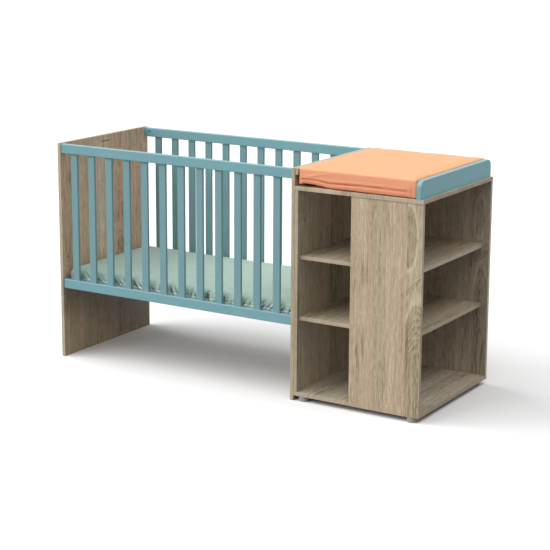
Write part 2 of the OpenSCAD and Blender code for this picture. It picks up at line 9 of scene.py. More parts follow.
import bpy
import numpy as np
from mathutils import Matrix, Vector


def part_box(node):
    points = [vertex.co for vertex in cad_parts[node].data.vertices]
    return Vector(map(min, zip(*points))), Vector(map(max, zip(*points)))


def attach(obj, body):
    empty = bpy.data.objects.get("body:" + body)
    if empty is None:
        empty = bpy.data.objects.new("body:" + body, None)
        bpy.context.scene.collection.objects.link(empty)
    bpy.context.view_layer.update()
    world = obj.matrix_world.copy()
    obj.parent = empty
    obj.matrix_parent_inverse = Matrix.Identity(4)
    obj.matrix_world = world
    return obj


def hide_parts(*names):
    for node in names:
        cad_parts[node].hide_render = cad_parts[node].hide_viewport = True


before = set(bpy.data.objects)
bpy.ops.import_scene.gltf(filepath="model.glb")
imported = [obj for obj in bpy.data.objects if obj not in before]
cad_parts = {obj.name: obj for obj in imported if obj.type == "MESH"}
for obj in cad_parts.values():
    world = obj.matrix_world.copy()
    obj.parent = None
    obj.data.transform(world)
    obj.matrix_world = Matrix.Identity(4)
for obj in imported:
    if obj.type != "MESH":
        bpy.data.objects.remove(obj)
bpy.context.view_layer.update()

AXES = "xyz"
UNTINTED = (1, 1, 1)


# -------------------------------------------- finishes: how a material is written


def is_vector(part):
    """True for a vector or a colour, written out or on a socket."""
    if isinstance(part, Term):
        return part.socket.type in ("VECTOR", "RGBA")
    return hasattr(part, "__len__")


class Term:
    """A socket in a sum: each operator adds one Math node, or Vector Math where a part is a vector."""

    def __init__(self, nodes, socket):
        self.nodes = nodes
        self.socket = socket

    def join(self, operation, *parts):
        """One maths node over these parts."""
        kind = "VectorMath" if any(is_vector(part) for part in parts) else "Math"
        return self.nodes.node(kind, {"operation": operation}, dict(enumerate(parts)))

    def __add__(self, other):
        return self.join("ADD", self, other)

    def __sub__(self, other):
        return self.join("SUBTRACT", self, other)

    def __rsub__(self, other):
        return self.join("SUBTRACT", other, self)

    def __mul__(self, other):
        return self.join("MULTIPLY", self, other)

    def __truediv__(self, other):
        return self.join("DIVIDE", self, other)

    def __pow__(self, other):
        return self.join("POWER", self, other)

    def __gt__(self, other):
        return self.join("GREATER_THAN", self, other)

    def __lt__(self, other):
        return self.join("LESS_THAN", self, other)

    def __abs__(self):
        return self.join("ABSOLUTE", self)

    __radd__ = __add__
    __rmul__ = __mul__

    def fraction(self):
        """What is left without the whole number."""
        return self.join("FRACT", self)

    def whole(self):
        """The whole number below."""
        return self.join("FLOOR", self)

    def sine(self):
        """The sine."""
        return self.join("SINE", self)

    def at_least(self, other):
        """The larger of the two."""
        return self.join("MAXIMUM", self, other)


class Nodes:
    """A node tree that is filled from nothing."""

    def __init__(self, tree):
        self.tree = tree
        self.tree.nodes.clear()

    def plug(self, socket, value):
        """Links a term to a socket, or writes a plain value on it."""
        if isinstance(value, Term):
            self.tree.links.new(value.socket, socket)
        elif socket.type == "RGBA":
            socket.default_value = (*value[:3], 1)
        elif socket.type == "VECTOR" and not hasattr(value, "__len__"):
            socket.default_value = (value,) * 3
        else:
            socket.default_value = value

    def node(self, kind, settings=None, values=None, out=0):
        """Any node: its settings first, then the values or links of its sockets. Gives one output."""
        node = self.tree.nodes.new("ShaderNode" + kind)
        for key, value in (settings or {}).items():
            if key == "stops":
                self.fill_ramp(node.color_ramp, value)
            else:
                setattr(node, key, value)
        for key, value in (values or {}).items():
            self.plug(node.inputs[key], value)
        return Term(self, node.outputs[out]) if node.outputs else None

    def fill_ramp(self, ramp, stops):
        """Stops of position and colour, held level from each stop to the next."""
        ramp.interpolation = "CONSTANT"
        while len(ramp.elements) < len(stops):
            ramp.elements.new(1)
        for element, (place, colour) in zip(ramp.elements, stops):
            element.position = place
            element.color = (*colour, 1)

    def split(self, vector):
        """The three numbers of a vector."""
        parts = self.node("SeparateXYZ", None, {0: vector})
        return [Term(self, socket) for socket in parts.socket.node.outputs]

    def point(self, x, y, z):
        """A vector of three numbers."""
        return self.node("CombineXYZ", None, {0: x, 1: y, 2: z})

    def place(self):
        """Where a point is on the object, in metres, whatever the pose."""
        return self.node("TexCoord", out="Object")

    def normal(self):
        """Which way the surface faces on the object."""
        return self.node("TexCoord", out="Normal")

    def facing(self):
        """How far the surface faces along X, Y and Z, from 0 to 1 each."""
        return self.split(abs(self.normal()))

    def noise(self, place, scale=1.0, detail=2.0, roughness=0.5):
        """Soft noise from about -1 to 1."""
        values = {"Vector": place, "Scale": scale, "Detail": detail, "Roughness": roughness}
        return self.node("TexNoise", None, values) * 2 - 1

    def step(self, value, start, end):
        """From 0 to 1 as the value goes from start to end, and eased."""
        values = {"Value": value, "From Min": start, "From Max": end}
        return self.node("MapRange", {"interpolation_type": "SMOOTHSTEP"}, values)

    def mix(self, share, first, second):
        """Two colours mixed."""
        return self.node("Mix", {"data_type": "RGBA"}, {0: share, 6: first, 7: second}, out=2)

    def attribute(self, name):
        """A number that was written for each point of the mesh."""
        return self.node("Attribute", {"attribute_name": name}, out="Fac")


class Finish(Nodes):
    """One finish: a material, its nodes and its shader, which takes the numbers that are given."""

    def __init__(self, name, **sockets):
        self.material = bpy.data.materials.new(name)
        self.material.use_nodes = True
        super().__init__(self.material.node_tree)
        values = {socket.replace("_", " "): value for socket, value in sockets.items()}
        shader = self.node("BsdfPrincipled", None, values)
        self.shader = shader.socket.node
        self.node("OutputMaterial", None, {"Surface": shader})

    def set(self, socket, value):
        """Gives a socket of the shader a colour or a term."""
        self.plug(self.shader.inputs[socket], value)

    def bump(self, height, distance, strength):
        """Raises the surface by height times distance."""
        values = {"Height": height, "Distance": distance, "Strength": strength}
        self.set("Normal", self.node("Bump", None, values))


def wear(node_names, finish):
    """Gives CAD nodes a finish."""
    for name in node_names:
        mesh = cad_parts[name].data
        mesh.materials.clear()
        mesh.materials.append(finish.material)


# -------------------------------------------- laminated boards: colours and tables

OAK_PALE = (0.675, 0.582, 0.432)
OAK_MID = (0.490, 0.394, 0.267)
OAK_DARK = (0.195, 0.145, 0.088)
OAK_PINK = (1.07, 0.955, 0.935)
OAK_OLIVE = (0.955, 1.005, 0.94)
CHIPBOARD_PALE = (0.24, 0.18, 0.11)
CHIPBOARD_DARK = (0.11, 0.075, 0.045)

# node, axis of its thickness, axis of its grain, seed, tint of painted light and shade on its inner face,
# which way that faces (0 for both), how far its staves differ in hue, how strong its figure is, and its
# staves where they are set: where each starts, its tone, whether it is figured, and the middle of the
# figure
BOARDS = [
    ("left_end_panel", "x", "z", 3, (1.27, 1.12, 1.15), 1, 0.8, 0.55,
     [(0.0, 0.44, 0, 0.05), (0.085, 0.68, 0, 0.11), (0.150, 0.30, 0, 0.18), (0.215, 0.66, 0, 0.24),
      (0.345, 0.45, 0, 0.36), (0.375, 0.60, 1.0, 0.428), (0.480, 0.28, 0, 0.50), (0.545, 0.60, 0, 0.58)]),
    ("right_end_panel", "x", "z", 5, UNTINTED, 0, 0.4, 0.8, None),
    ("changer_left_side", "x", "z", 8, (0.94, 0.98, 1.06), 1, 0.5, 0.5, None),
    ("changer_rear_panel", "y", "z", 13, (0.785, 0.83, 0.92), -1, 0.5, 0.8,
     [(0.0, 0.40, 0, 0.05), (0.090, 0.62, 1.0, 0.135), (0.185, 0.30, 0, 0.22), (0.262, 0.66, 0, 0.31),
      (0.360, 0.42, 0, 0.40), (0.437, 0.68, 0, 0.46), (0.497, 0.40, 0, 0.53)]),
    ("changer_bottom", "z", "y", 21, (0.94, 1.02, 1.16), 1, 0.4, 0.5, None),
    ("changer_front_panel", "y", "z", 34, UNTINTED, 0, 0.55, 1.0,
     [(0.0, 0.60, 0, 0.06), (0.112, 0.30, 0, 0.13), (0.160, 0.70, 0, 0.20), (0.254, 0.40, 0, 0.286)]),
    ("changer_top", "z", "y", 55, UNTINTED, 0, 0.4, 0.8, None),
    ("shelf_lower", "z", "y", 89, (0.88, 0.91, 0.97), 0, 0.4, 0.5, None),
    ("shelf_upper", "z", "y", 44, (0.88, 0.91, 0.97), 0, 0.4, 0.5, None),
    ("mat_batten", "x", "y", 71, (1.24, 1.20, 1.15), 0, 0.4, 0.5, None),
]

# staves that aren't set: how wide they are, how many are figured, and where the figure's middle is
STAVE_WIDTHS = (0.055, 0.135)
FIGURED_SHARE = 0.45
FIGURE_MIDDLES = (0.02, 0.06)

# single figures, in metres across and up from the board's lower front or left corner: where their stave
# starts, then for each the middle, how wide and how long it is, how far it leans, how many rings it has,
# and how far down its legs curve if it is open
FIGURES = {
    "changer_front_panel": (0.254, [
        (0.263, 0.738, 0.034, 0.125, 0.0, 1.0, 0),
        (0.278, 0.534, 0.044, 0.015, 1.0, 1.0, 0),
        (0.304, 0.387, 0.050, 0.089, 0.0, 3.2, -1.3),
    ]),
    "left_end_panel": (0.375, [
        (0.424, 0.605, 0.050, 0.045, 0.5, 1.0, 0),
        (0.432, 0.452, 0.030, 0.040, 0.0, 1.0, 0),
    ]),
    "changer_rear_panel": (0.497, [
        (0.522, 0.695, 0.021, 0.085, 0.0, 1.0, 0),
        (0.530, 0.528, 0.036, 0.022, 0.6, 1.0, 0),
        (0.532, 0.385, 0.030, 0.105, 0.0, 2.4, -2.4),
    ]),
}
# how far the jags and the drift move a figure's lines sideways and the jags upwards, how rough they make
# it, how it ends, how the halo round it ends and how pale that is, and how far its rings swing up to their
# darkest, for a figure of one ring and for one of several
FIGURE_JAG = 0.004
FIGURE_DRIFT = 0.006
FIGURE_JAG_UP = 0.010
FIGURE_ROUGH = 0.15
FIGURE_END = (1.12, 0.78)
HALO_END = (1.6, 1.2)
HALO_PALE = 0.45
ONE_RING = (0.25, 0.72)
MANY_RINGS = (0.95, 1.0)

# the layers of the grain: how fine each is across and along the board, how far it slants, which slice of
# the noise it is, and its detail and roughness
GRAIN = {
    "jags": (60, 24, 0, 0, 3, 0.6),
    "drift": (10, 4, 0, 0, 1, 0.5),
    "swell": (2, 3.4, 0, 9, 1, 0.5),
    "sway": (7, 9, 0, 1, 1, 0.5),
    "veins": (24, 1.1, 0, 7, 1, 0.5),
    "vein_patches": (8, 3, 0, 4, 2, 0.5),
    "bands": (20, 0.7, 0, 21, 2, 0.5),
    "hue": (30, 0.8, 0, 33, 2, 0.5),
    "streaks": (96, 2.6, 0, 27, 2, 0.5),
    "fibres": (260, 6, 0, 5, 3, 0.65),
    "dashes": (165, 23, 6, 17, 3, 0.6),
    "pores": (420, 36, 20, 2, 2, 0.5),
    "saw_marks": (30, 260, 0, 15, 2, 0.5),
    "saw_patches": (16, 9, 0, 12, 2, 0.5),
}
# the noise's values between which a layer comes in
SHOWN = {
    "veins": (0.10, 0.0),
    "vein_patches": (-0.15, 0.25),
    "pores": (0.20, 0.5),
    "saw_patches": (0.10, 0.40),
}
# how many slices of the noise lie between the darkest and the palest stave, and how far the veins sway
SLICES_PER_TONE = 40
SWAY = 0.010
# the rings of a figured stave: how broad they are, how far the drift and the jags move them sideways, what
# the arches, the swell and the jags add to them, how sharp they are, and how the figure ends
RING_SPREAD = 0.030
RING_DRIFT = 0.010
RING_JAG = 0.0035
RING_ARCH = 0.9
RING_SWELL = 3.4
RING_ROUGH = 0.10
RING_SHARP = 1.5
RINGS_END = (1.6, 0.7)
# what each layer adds to the paler wood and what rings and veins take from it, what rings, veins and pores
# add to the darker, and the spans in which both come in
SHADE_SHARES = {"bands": 0.42, "streaks": 0.50, "fibres": 0.50, "dashes": 0.85, "saw_marks": 0.75}
TONE_SHARE = 0.36
PALE_LOSS = {"rings": 0.8, "veins": 0.35}
DARK_SHARES = {"rings": 0.55, "veins": 0.46, "pores": 0.34}
DARK_SPAN = (-0.05, 0.95)
PALE_SPAN = (-0.10, 0.70)
# the relief: how deep it is in all, and how far the layers stand out and rings and veins lie in it
RELIEF = 0.00025
RAISED = {"fibres": 0.5, "dashes": 0.3}
SUNK = 0.4

# the edge bands: from where a face counts as an edge, how much their wood is evened out, their tint, and
# on some boards a tint of painted light and shade
EDGE_TURN = (0.6, 0.8)
BAND_EVENED = 0.45
BAND_PALE = (1.03, 1.05, 1.10)
EDGE_LIGHT_TINTS = {"changer_rear_panel": (1.30, 1.30, 1.30), "left_end_panel": (0.91, 1.01, 1.01)}
# painted shadows along joints and edges: the axis they lie across, the end of that axis and how broad they
# are
CONTACT_SHADOWS = {
    "changer_front_panel": [("z", 1, 0.007)],
    "left_end_panel": [("z", 0, 0.005), ("y", 1, 0.005)],
    "right_end_panel": [("x", 1, 0.0022)],
    "changer_left_side": [("x", 0, 0.0022)],
}
CONTACT_SHADOW_DEPTH = 0.45
# how far from a board's edges and faces its chipboard starts to show, in holes and slots
EDGE_MARGIN = 0.002
HOLE_DEEP = 0.0005
CHIP_SCALE = 420

# the left end panel's inner face: the heights between which its tint of painted light starts, a greyer
# stave with its tint, and the painted shade under the crib that turns to painted light near the floor,
# with the slope and the span in which it deepens, the tone at both ends of that, and the heights between
# which it ends behind the bottom rail
PAINTED_LIGHT_START = (0.26, 0.40)
GREY_STAVE = (0.215, 0.345)
GREY_TINT = (1.0, 1.13, 1.22)
SHADE_SLOPE = 0.45
SHADE_SPAN = (0.12, 0.36)
SHADE_TONES = (1.30, 0.47)
SHADE_END = (0.40, 0.33)


# -------------------------------------------- laminated boards: how they are made


def cut_staves(width, seed, staves):
    """Ramp stops of the staves: each holds its tone, whether it is figured, and the figure's middle."""
    draw = random.Random(seed)
    if staves is None:
        starts = [0.0]
        while starts[-1] < width - STAVE_WIDTHS[0]:
            starts.append(starts[-1] + draw.uniform(*STAVE_WIDTHS))
        staves = []
        for at in starts:
            tone, figured = draw.random(), draw.random() < FIGURED_SHARE
            staves.append((at, tone, figured, at + draw.uniform(*FIGURE_MIDDLES)))
    stops = []
    for at, tone, figured, middle in staves:
        stops.append((min(1.0, at / width), (tone, figured, min(1.0, middle / width))))
    return stops


class Board:
    """A laminated board while its finish is made: u runs across its grain and v along it, in metres."""

    def __init__(self, node, thick, grain, seed, staves):
        self.node = node
        self.thick = thick
        self.finish = Finish("laminate_" + node, IOR=1.45)
        low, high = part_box(node)
        self.start = dict(zip(AXES, low))
        self.size = {axis: high[i] - low[i] for i, axis in enumerate(AXES)}
        self.place = dict(zip(AXES, self.finish.split(self.finish.place())))
        facing = dict(zip(AXES, self.finish.facing()))
        self.depth = self.place[thick] - self.start[thick]
        self.edge = 1 - self.finish.step(facing[thick], *EDGE_TURN)
        self.ways = ((set(AXES) - {thick, grain}).pop(), grain)
        run = {way: self.place[way] - self.start[way] + self.depth * facing[way] for way in self.ways}
        self.u, self.v = (run[way] for way in self.ways)
        self.width = self.size[self.ways[0]]
        stops = cut_staves(self.width, seed, staves)
        stave = self.finish.node("ValToRGB", {"stops": stops}, {0: self.u / self.width})
        self.tone, self.figured, self.middle = self.finish.split(stave)
        self.slice = self.tone * SLICES_PER_TONE + seed

    def grain(self, name, across=None):
        """One layer of the grain, from about -1 to 1."""
        fine_u, fine_v, slant, number, detail, roughness = GRAIN[name]
        x = (self.u if across is None else across) * fine_u
        if slant:
            x = x + self.v * slant
        place = self.finish.point(x, self.v * fine_v, self.slice + number)
        return self.finish.noise(place, detail=detail, roughness=roughness)

    def tree_rings(self, jag, drift):
        """Rings cut lengthwise: closed eyes and nested arches down the middle of a figured stave."""
        off = self.u - self.middle * self.width + drift * RING_DRIFT + jag * RING_JAG
        off = off / RING_SPREAD
        rings = off * off * RING_ARCH + self.grain("swell") * RING_SWELL + jag * RING_ROUGH
        return rings.fraction() ** RING_SHARP * self.finish.step(abs(off), *RINGS_END) * self.figured

    def with_figures(self, ring, jag, drift):
        """The rings, and on top of them the board's single figures."""
        if self.node not in FIGURES:
            return ring
        stave_start, figures = FIGURES[self.node]
        own = self.u > stave_start
        for at_u, at_v, wide, long, lean, count, legs in figures:
            side = (self.u + jag * FIGURE_JAG + drift * FIGURE_DRIFT - at_u) / wide
            up = (self.v + jag * FIGURE_JAG_UP - at_v - (self.u - at_u) * lean) / long
            field = side * side + (up.at_least(legs) if legs else up * up) + jag * FIGURE_ROUGH
            turn = (field * count).fraction()
            inside = self.finish.step(field, *FIGURE_END)
            halo = self.finish.step(field, *HALO_END) - inside
            swing, darkest = ONE_RING if count == 1 else MANY_RINGS
            ring = ring + ((darkest - swing + turn * swing) * inside - halo * HALO_PALE) * own
        return ring


def weighted(layers, shares):
    """The sum of the layers that have a share, each times that share."""
    terms = [layers[name] * share for name, share in shares.items()]
    return sum(terms[1:], terms[0])


def inner_light_shade_and_stave(board, colour, inner, tint):
    """Painted light and shade on the inner face as a tint, the left end panel's greyer stave, and its
    painted shade under the crib.
    """
    step, mix = board.finish.step, board.finish.mix
    # painted light and shade: the inner-face tint brightens some boards and darkens others, as light falls
    # on them
    if board.node != "left_end_panel":
        return colour * mix(inner, UNTINTED, tint)
    tinted = inner * step(board.v, *PAINTED_LIGHT_START)
    # painted shade under the crib, deepest just below the bed base, and painted light low down near the
    # floor
    deep = step(board.v + board.u * SHADE_SLOPE, *SHADE_SPAN)
    pale, dark = SHADE_TONES
    below = pale + deep * (dark - pale) - 1
    colour = colour * (1 + below * inner * step(board.v, *SHADE_END))
    colour = colour * mix(tinted, UNTINTED, tint)
    in_stave = (board.u > GREY_STAVE[0]) * (board.u < GREY_STAVE[1])
    return colour * mix(tinted * in_stave, UNTINTED, GREY_TINT)


def finish_edges(board, colour, inner):
    """The paler edge bands with some painted light and shade, the painted contact shadows, and the
    chipboard that shows in holes and slots.
    """
    finish, edge = board.finish, board.edge
    # the edge bands' own paler tint, then painted light and shade on some boards' edges
    band = finish.mix(BAND_EVENED, colour, OAK_MID) * BAND_PALE * EDGE_LIGHT_TINTS.get(board.node, UNTINTED)
    colour = finish.mix(edge, colour, band)
    # painted shadows where the board meets its neighbours
    for axis, end, breadth in CONTACT_SHADOWS.get(board.node, []):
        away = abs(board.place[axis] - board.start[axis] - end * board.size[axis])
        shown = edge if axis == board.thick else inner
        colour = colour * (1 - finish.step(away, breadth, 0.0) * CONTACT_SHADOW_DEPTH * shown)
    walls = edge
    for axis in board.ways:
        start, size = board.start[axis], board.size[axis]
        walls = walls * (board.place[axis] > start + EDGE_MARGIN)
        walls = walls * (board.place[axis] < start + size - EDGE_MARGIN)
    floors = (board.depth > HOLE_DEEP) * (board.depth < board.size[board.thick] - HOLE_DEEP)
    floors = floors * (1 - edge)
    chips = finish.step(finish.noise(finish.place(), scale=CHIP_SCALE, detail=2), -0.3, 0.3)
    return finish.mix(walls + floors, colour, finish.mix(chips, CHIPBOARD_DARK, CHIPBOARD_PALE))


def laminate(node, thick, grain, seed, tint, inner_way, hue_share, strength, staves):
    """Oak decor with its grain along one axis: staves, rings, veins, fibres, pores and saw marks."""
    board = Board(node, thick, grain, seed, staves)
    finish, step, mix = board.finish, board.finish.step, board.finish.mix
    jag, drift = board.grain("jags"), board.grain("drift")
    rings = board.with_figures(board.tree_rings(jag, drift), jag, drift) * strength
    swayed = board.u + board.grain("sway") * SWAY
    veins = step(abs(board.grain("veins", swayed)), *SHOWN["veins"])
    veins = veins * step(board.grain("vein_patches"), *SHOWN["vein_patches"]) * strength
    pores = step(board.grain("pores"), *SHOWN["pores"])
    layers = {name: board.grain(name) for name in ("bands", "fibres", "dashes")}
    layers["streaks"] = board.grain("streaks", swayed)
    saw_patches = step(board.grain("saw_patches"), *SHOWN["saw_patches"])
    layers["saw_marks"] = board.grain("saw_marks") * saw_patches

    shade = weighted(layers, SHADE_SHARES) + (board.tone - 0.5) * TONE_SHARE
    figure = {"rings": rings, "veins": veins, "pores": pores}
    dark = step(weighted(figure, DARK_SHARES) - shade, *DARK_SPAN)
    pale = step(shade - rings * PALE_LOSS["rings"] - veins * PALE_LOSS["veins"], *PALE_SPAN)
    colour = mix(pale * (1 - dark), mix(dark, OAK_MID, OAK_DARK), OAK_PALE)
    hue = mix(step(board.grain("hue") * 0.6 - board.tone + 0.5, -0.3, 0.3), OAK_PINK, OAK_OLIVE)
    colour = colour * mix(hue_share, UNTINTED, hue)
    inner = (board.depth - board.size[thick] / 2) * inner_way > 0 if inner_way else 1.0
    colour = finish_edges(board, inner_light_shade_and_stave(board, colour, inner, tint), inner)

    finish.set("Base Color", colour)
    finish.set("Roughness", 0.5 + rings * 0.06 + pores * 0.12 + layers["fibres"] * 0.05)
    finish.bump(weighted(layers, RAISED) - pores - rings * SUNK - veins * SUNK, RELIEF, 0.5)
    wear([node], finish)


for board_row in BOARDS:
    laminate(*board_row)


# -------------------------------------------- painted wood

TEAL = (0.172, 0.345, 0.393)
TEAL_GREENER = (0.175, 0.362, 0.383)
# how fine the roller's ripple is across a piece and along it
RIPPLE_ACROSS = 26.0
RIPPLE_ALONG = 2.5
RAIL_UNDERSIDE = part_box("front_top_rail")[0][2]
RAIL_SHADE_HEIGHT = 0.014
RAILS = [f"{side}_{level}_rail" for side in ("front", "rear") for level in ("top", "bottom")]
SLATS = [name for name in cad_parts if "_slat_" in name]
# the painted pieces, the axis they run along, their tint, a tint of painted light and shade on their faces
# to the left and right, and how dark a painted shadow makes them just under the top rails
PAINTED = [
    (RAILS, "x", (1.12, 1.14, 1.14), (1.12, 1.14, 1.14), 0.0),
    (SLATS, "z", (1.07, 1.0, 0.99), (0.98, 0.92, 0.92), 0.30),
    (["guard_board"], "y", (1.20, 1.10, 1.07), (0.83, 1.18, 1.26), 0.0),
]


def paint(nodes, long_axis, tint, side_light_tint, rail_shadow):
    """Satin teal paint with a roller's faint ripple along it, painted light and shade on the faces to the
    left and right, and a painted shadow under the top rails.
    """
    finish = Finish("teal_paint_" + long_axis, IOR=1.47)
    fineness = tuple(RIPPLE_ALONG if axis == long_axis else RIPPLE_ACROSS for axis in AXES)
    coat = finish.noise(finish.place() * fineness, detail=2)
    cloud = finish.noise(finish.place(), scale=9, detail=2)
    grit = finish.noise(finish.place(), scale=650, detail=2)
    height = finish.split(finish.place())[2]
    # a painted shadow just under the top rails
    shade = finish.step(height, RAIL_UNDERSIDE - RAIL_SHADE_HEIGHT, RAIL_UNDERSIDE) * rail_shadow
    # painted light and shade on the faces to the left and right
    tints = finish.mix(finish.facing()[0], tint, side_light_tint)
    colour = finish.mix(finish.step(cloud, -0.4, 0.4), TEAL, TEAL_GREENER) * tints
    finish.set("Base Color", colour * (1 + coat * 0.05 - shade))
    finish.set("Roughness", 0.36 + cloud * 0.05)
    finish.bump(coat * 0.6 + grit * 0.25, 0.0003, 0.4)
    wear(nodes, finish)


for painted_row in PAINTED:
    paint(*painted_row)


# -------------------------------------------- bare wood, steel and plastic

PINE_PALE = (0.78, 0.60, 0.37)
PINE_DARK = (0.58, 0.38, 0.19)
PINE_STRETCH = 0.05
# how far apart the base's slats lie, and how far apart their pieces of the noise are
BASE_SLAT_PITCH = 0.0957
PIECE_APART = 3.7
STEEL = (0.60, 0.61, 0.63)
BLACK_STEEL = (0.10, 0.105, 0.11)
STEEL_PARTS = [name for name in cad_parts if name.endswith(("_bolts", "_pins", "_screws"))]
TURNING_MARKS = (90, 1400, 1400)
FEET = [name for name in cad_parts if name.startswith("foot_")]
FOOT_GREY = (0.36, 0.36, 0.345)
CAP_BROWN = (0.36, 0.29, 0.21)


def planed_wood(name, long_axis, nodes):
    """Planed softwood with straight grain along one axis, another piece of wood for each slat."""
    finish = Finish(name, IOR=1.45)
    stretch = tuple(PINE_STRETCH if axis == long_axis else 1.0 for axis in AXES)
    piece = (finish.split(finish.place())[0] / BASE_SLAT_PITCH).whole() * PIECE_APART
    place = finish.place() * stretch + finish.point(0.0, 0.0, piece)
    sway = finish.noise(place, scale=14, detail=2)
    line = finish.noise(place + sway * 0.02, scale=190, detail=3)
    broad = finish.noise(place, scale=40, detail=2)
    share = finish.step(line * 0.6 + broad * 0.5, -0.45, 0.75)
    finish.set("Base Color", finish.mix(share, PINE_PALE, PINE_DARK))
    finish.set("Roughness", 0.55 + line * 0.08)
    finish.bump(line, 0.0002, 0.5)
    wear(nodes, finish)


def plated_steel(name, colour, nodes):
    """Plated steel, with turning marks and small cloudy patches."""
    finish = Finish(name, Metallic=1.0)
    cloud = finish.noise(finish.place(), scale=160, detail=3)
    turned = finish.noise(finish.place() * TURNING_MARKS, detail=1)
    finish.set("Base Color", (1 + cloud * 0.15) * colour)
    finish.set("Roughness", 0.32 + cloud * 0.08 + turned * 0.05)
    finish.bump(turned, 0.00005, 0.4)
    wear(nodes, finish)


def moulded(name, colour, nodes):
    """A moulded plastic with a fine spark texture."""
    finish = Finish(name, IOR=1.46)
    spark = finish.noise(finish.place(), scale=1500, detail=2)
    cloud = finish.noise(finish.place(), scale=70, detail=2)
    finish.set("Base Color", (1 + cloud * 0.12) * colour)
    finish.set("Roughness", 0.5 + cloud * 0.05)
    finish.bump(spark, 0.0001, 0.5)
    wear(nodes, finish)


planed_wood("pine_lengthwise", "x", ["base_front_rail", "base_rear_rail", "wood_dowels"])
planed_wood("pine_crosswise", "y", ["base_left_rail", "base_right_rail", "base_slats"])
plated_steel("zinc_steel", STEEL, STEEL_PARTS)
plated_steel("blackened_steel", BLACK_STEEL, ["barrel_nuts"])
moulded("moulded_grey", FOOT_GREY, FEET)
moulded("brown_caps", CAP_BROWN, ["cam_locks", "link_nuts"])


# -------------------------------------------- soft goods: shaping

FULL_TURN = 2 * math.pi
TINY = 1e-9
SIM_FRAMES = 20
SIM_PRESSURE = 4.0
WAVES = 7


def new_piece(name, points, faces):
    """A mesh object with smooth faces."""
    mesh = bpy.data.meshes.new(name)
    mesh.from_pydata([tuple(p) for p in points], [], [tuple(f) for f in faces])
    mesh.validate()
    mesh.update()
    mesh.polygons.foreach_set("use_smooth", [True] * len(mesh.polygons))
    piece = bpy.data.objects.new(name, mesh)
    bpy.context.scene.collection.objects.link(piece)
    return piece


def rounded_block(low, high, radius, cell):
    """Points and faces of a closed block with rounded edges, in cells of about one size."""
    count = np.maximum(2, np.round((high - low) / cell).astype(int))
    index, points, faces = {}, [], []

    def corner(at):
        if at not in index:
            index[at] = len(points)
            raw = low + (high - low) * np.array(at) / count
            core = np.clip(raw, low + radius, high - radius)
            away = raw - core
            points.append(core + away / max(np.linalg.norm(away), TINY) * radius)
        return index[at]

    for axis in range(3):
        one, two = [a for a in range(3) if a != axis]
        for end in (0, count[axis]):
            for i in range(count[one]):
                for j in range(count[two]):
                    ring = []
                    for di, dj in ((0, 0), (1, 0), (1, 1), (0, 1)):
                        at = [0, 0, 0]
                        at[axis], at[one], at[two] = int(end), i + di, j + dj
                        ring.append(corner(tuple(at)))
                    outward = (end > 0) != (axis == 1)
                    faces.append(ring if outward else ring[::-1])
    return np.array(points), faces


def read_points(data, field):
    """A vector of each point of a mesh, such as its place or its normal, as an array."""
    flat = np.empty(len(data.vertices) * 3)
    data.vertices.foreach_get(field, flat)
    return flat.reshape(-1, 3)


def points_of(piece):
    """The places of the piece's points."""
    return read_points(piece.data, "co")


def normals_of(piece):
    """The piece's normals at its points."""
    return read_points(piece.data, "normal")


def faces_of(piece):
    """The piece's faces as lists of point numbers."""
    return [list(face.vertices) for face in piece.data.polygons]


def move_points(piece, points):
    """Puts the piece's points where the array says."""
    piece.data.vertices.foreach_set("co", points.ravel())
    piece.data.update()


def mark(piece, name, values):
    """Writes a number for each point, which the cloth's finish reads."""
    layer = piece.data.attributes.new(name, "FLOAT", "POINT")
    layer.data.foreach_set("value", np.clip(values, 0, 1).astype(np.float32))


def fill_box(points, low, high):
    """Stretches the points evenly so that they reach the box on every side."""
    start, end = points.min(axis=0), points.max(axis=0)
    return low + (points - start) / (end - start) * (high - low)


def puff(piece, reach):
    """Blows the piece up as cloth round its filling, by no more than reach, and keeps the result."""
    scene = bpy.context.scene
    before = points_of(piece)
    cloth = piece.modifiers.new("puff", "CLOTH")
    cloth.settings.use_pressure = True
    cloth.settings.uniform_pressure_force = SIM_PRESSURE
    cloth.settings.effector_weights.gravity = 0
    cloth.point_cache.frame_start = 1
    cloth.point_cache.frame_end = SIM_FRAMES
    for number in range(1, SIM_FRAMES + 1):
        scene.frame_set(number)
    shown = piece.evaluated_get(bpy.context.evaluated_depsgraph_get())
    after = read_points(shown.data, "co")
    piece.modifiers.remove(cloth)
    scene.frame_set(1)
    moved = after - before
    length = np.linalg.norm(moved, axis=1, keepdims=True)
    move_points(piece, before + moved * np.minimum(1, reach / np.maximum(length, TINY)))


def subdivide(piece):
    """One round of smooth subdivision, kept in the mesh."""
    piece.modifiers.new("finer", "SUBSURF").levels = 1
    bpy.context.view_layer.update()
    shown = piece.evaluated_get(bpy.context.evaluated_depsgraph_get())
    mesh = bpy.data.meshes.new_from_object(shown)
    piece.modifiers.clear()
    piece.data = mesh


def hump(value):
    """A soft bump, 1 at 0 and gone by about 2."""
    return np.exp(-value * value)


def ease(value, start, end):
    """From 0 to 1 as the value goes from start to end, and eased."""
    share = np.clip((value - start) / (end - start), 0, 1)
    return share * share * (3 - 2 * share)


def ripple(points, seed, size):
    """Slow random waves from about -1 to 1, of about this size."""
    draw = np.random.RandomState(seed)
    total = np.zeros(len(points))
    for _ in range(WAVES):
        way = draw.normal(size=3)
        way *= FULL_TURN / size * draw.uniform(0.6, 1.5) / np.linalg.norm(way)
        total += np.sin(points @ way + draw.uniform(0, FULL_TURN))
    return total / (WAVES / 2)


